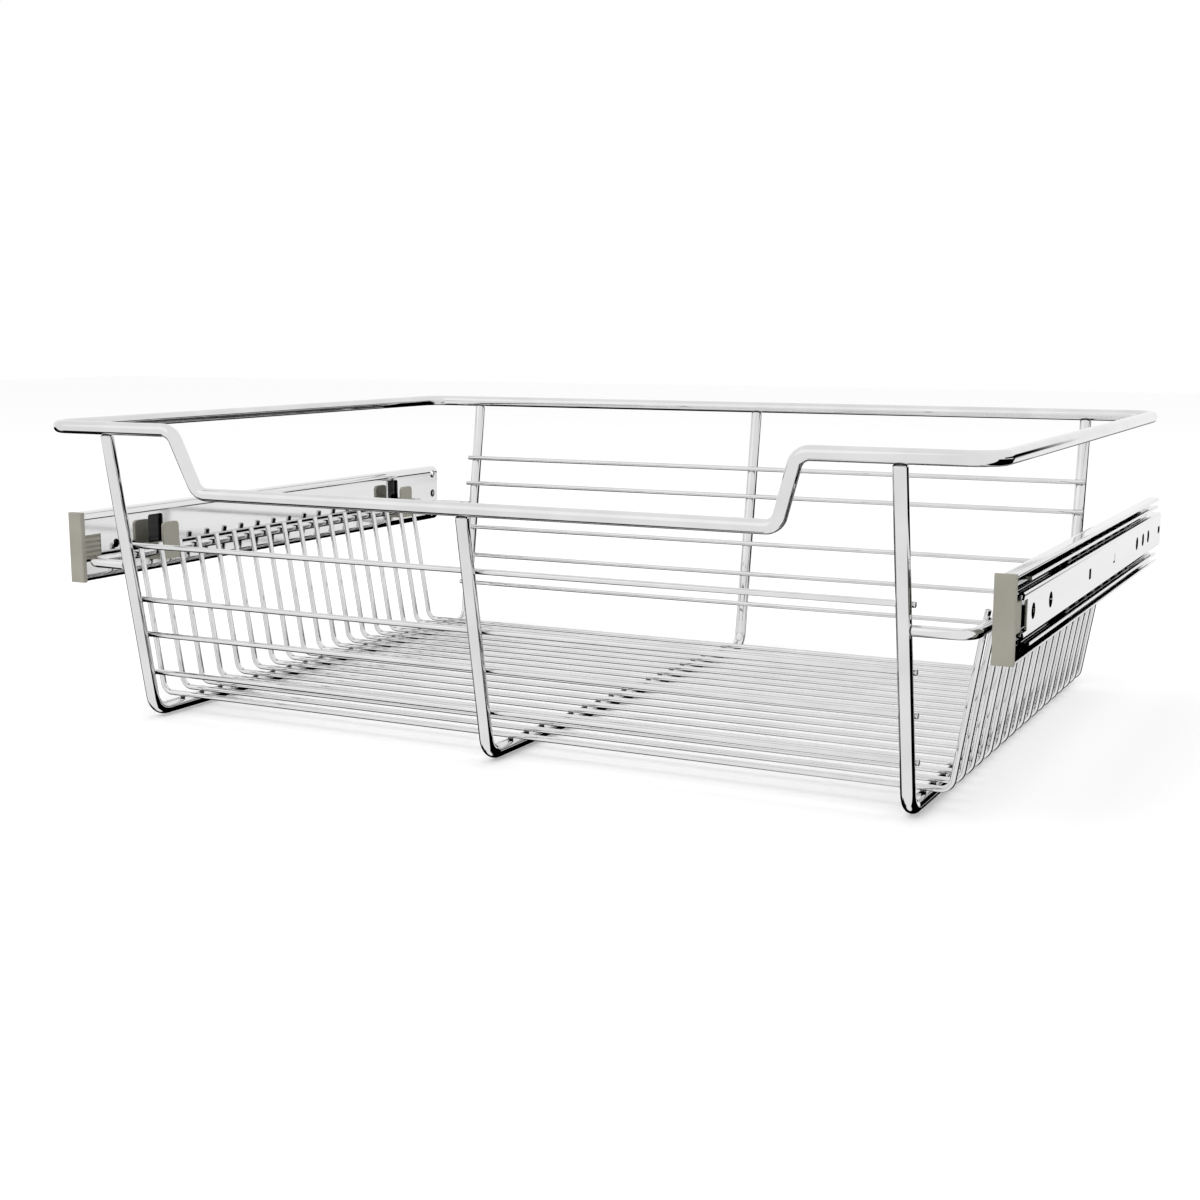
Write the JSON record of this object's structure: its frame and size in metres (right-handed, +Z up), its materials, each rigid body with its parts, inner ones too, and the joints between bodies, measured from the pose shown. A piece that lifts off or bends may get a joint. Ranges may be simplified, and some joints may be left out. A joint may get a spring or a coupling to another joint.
{
  "type": "pull out cabinet basket",
  "caption": "Chromed wire basket with a handle dip in its front rim, hung between two full-extension ball-bearing slides for a kitchen base cabinet.",
  "frame": {"origin": "midway between the slides and between the rim's front and back, on the plane under the frame wires", "axes": "+X to the right seen from the front, +Y towards the back of the cabinet, +Z up"},
  "size_m": [0.6082, 0.45, 0.191],
  "materials": {
    "wire_chrome": "bright chrome plating on drawn wire",
    "slide_chrome": "bright plated sheet steel",
    "slide_steel": "zinc-plated sheet steel",
    "cage_steel": "plain thin sheet",
    "ball_steel": "polished and lightly greased",
    "grey_plastic": "fine-grained moulded warm grey"
  },
  "bodies": {
    "cabinet_members": {"left_cabinet_member": "slide_chrome", "right_cabinet_member": "slide_chrome"},
    "basket": {"rim_wire": "wire_chrome", "left_frame_wire": "wire_chrome", "centre_frame_wire": "wire_chrome", "right_frame_wire": "wire_chrome", "left_side_rail": "wire_chrome", "right_side_rail": "wire_chrome", "front_wire_1": "wire_chrome", "front_wire_2": "wire_chrome", "front_wire_3": "wire_chrome", "front_wire_4": "wire_chrome", "back_wire_1": "wire_chrome", "back_wire_2": "wire_chrome", "back_wire_3": "wire_chrome", "back_wire_4": "wire_chrome", "back_wire_5": "wire_chrome", "floor_wire_01": "wire_chrome", "floor_wire_02": "wire_chrome", "floor_wire_03": "wire_chrome", "floor_wire_04": "wire_chrome", "floor_wire_05": "wire_chrome", "floor_wire_06": "wire_chrome", "floor_wire_07": "wire_chrome", "floor_wire_08": "wire_chrome", "floor_wire_09": "wire_chrome", "floor_wire_10": "wire_chrome", "floor_wire_11": "wire_chrome", "floor_wire_12": "wire_chrome", "floor_wire_13": "wire_chrome", "floor_wire_14": "wire_chrome", "floor_wire_15": "wire_chrome", "floor_wire_16": "wire_chrome", "floor_wire_17": "wire_chrome", "floor_wire_18": "wire_chrome", "left_basket_channel": "slide_chrome", "left_end_cap": "grey_plastic", "left_front_clip": "grey_plastic", "left_rear_clip": "grey_plastic", "right_basket_channel": "slide_chrome", "right_end_cap": "grey_plastic", "right_front_clip": "grey_plastic", "right_rear_clip": "grey_plastic"},
    "left_middle": {"left_middle_member": "slide_steel"},
    "left_outer_cage": {"left_outer_ball_cage": "cage_steel", "left_outer_balls": "ball_steel"},
    "left_inner_cage": {"left_inner_ball_cage": "cage_steel", "left_inner_balls": "ball_steel"},
    "right_middle": {"right_middle_member": "slide_steel"},
    "right_outer_cage": {"right_outer_ball_cage": "cage_steel", "right_outer_balls": "ball_steel"},
    "right_inner_cage": {"right_inner_ball_cage": "cage_steel", "right_inner_balls": "ball_steel"}
  },
  "joints": [
    {"name": "basket_slide", "type": "slide", "parent": "cabinet_members", "child": "basket", "axis": [0, -1, 0], "range_m": [0, 0.4]},
    {"name": "left_middle_slide", "type": "slide", "parent": "cabinet_members", "child": "left_middle", "axis": [0, -1, 0], "range_m": [0, 0.2]},
    {"name": "left_outer_cage_slide", "type": "slide", "parent": "cabinet_members", "child": "left_outer_cage", "axis": [0, -1, 0], "range_m": [0, 0.3]},
    {"name": "left_inner_cage_slide", "type": "slide", "parent": "cabinet_members", "child": "left_inner_cage", "axis": [0, -1, 0], "range_m": [0, 0.1]},
    {"name": "right_middle_slide", "type": "slide", "parent": "cabinet_members", "child": "right_middle", "axis": [0, -1, 0], "range_m": [0, 0.2]},
    {"name": "right_outer_cage_slide", "type": "slide", "parent": "cabinet_members", "child": "right_outer_cage", "axis": [0, -1, 0], "range_m": [0, 0.3]},
    {"name": "right_inner_cage_slide", "type": "slide", "parent": "cabinet_members", "child": "right_inner_cage", "axis": [0, -1, 0], "range_m": [0, 0.1]}
  ],
  "couplings": [
    {"joint": "left_middle_slide", "follows": "basket_slide", "ratio": 0.5},
    {"joint": "left_outer_cage_slide", "follows": "basket_slide", "ratio": 0.75},
    {"joint": "left_inner_cage_slide", "follows": "basket_slide", "ratio": 0.25},
    {"joint": "right_middle_slide", "follows": "basket_slide", "ratio": 0.5},
    {"joint": "right_outer_cage_slide", "follows": "basket_slide", "ratio": 0.75},
    {"joint": "right_inner_cage_slide", "follows": "basket_slide", "ratio": 0.25}
  ]
}
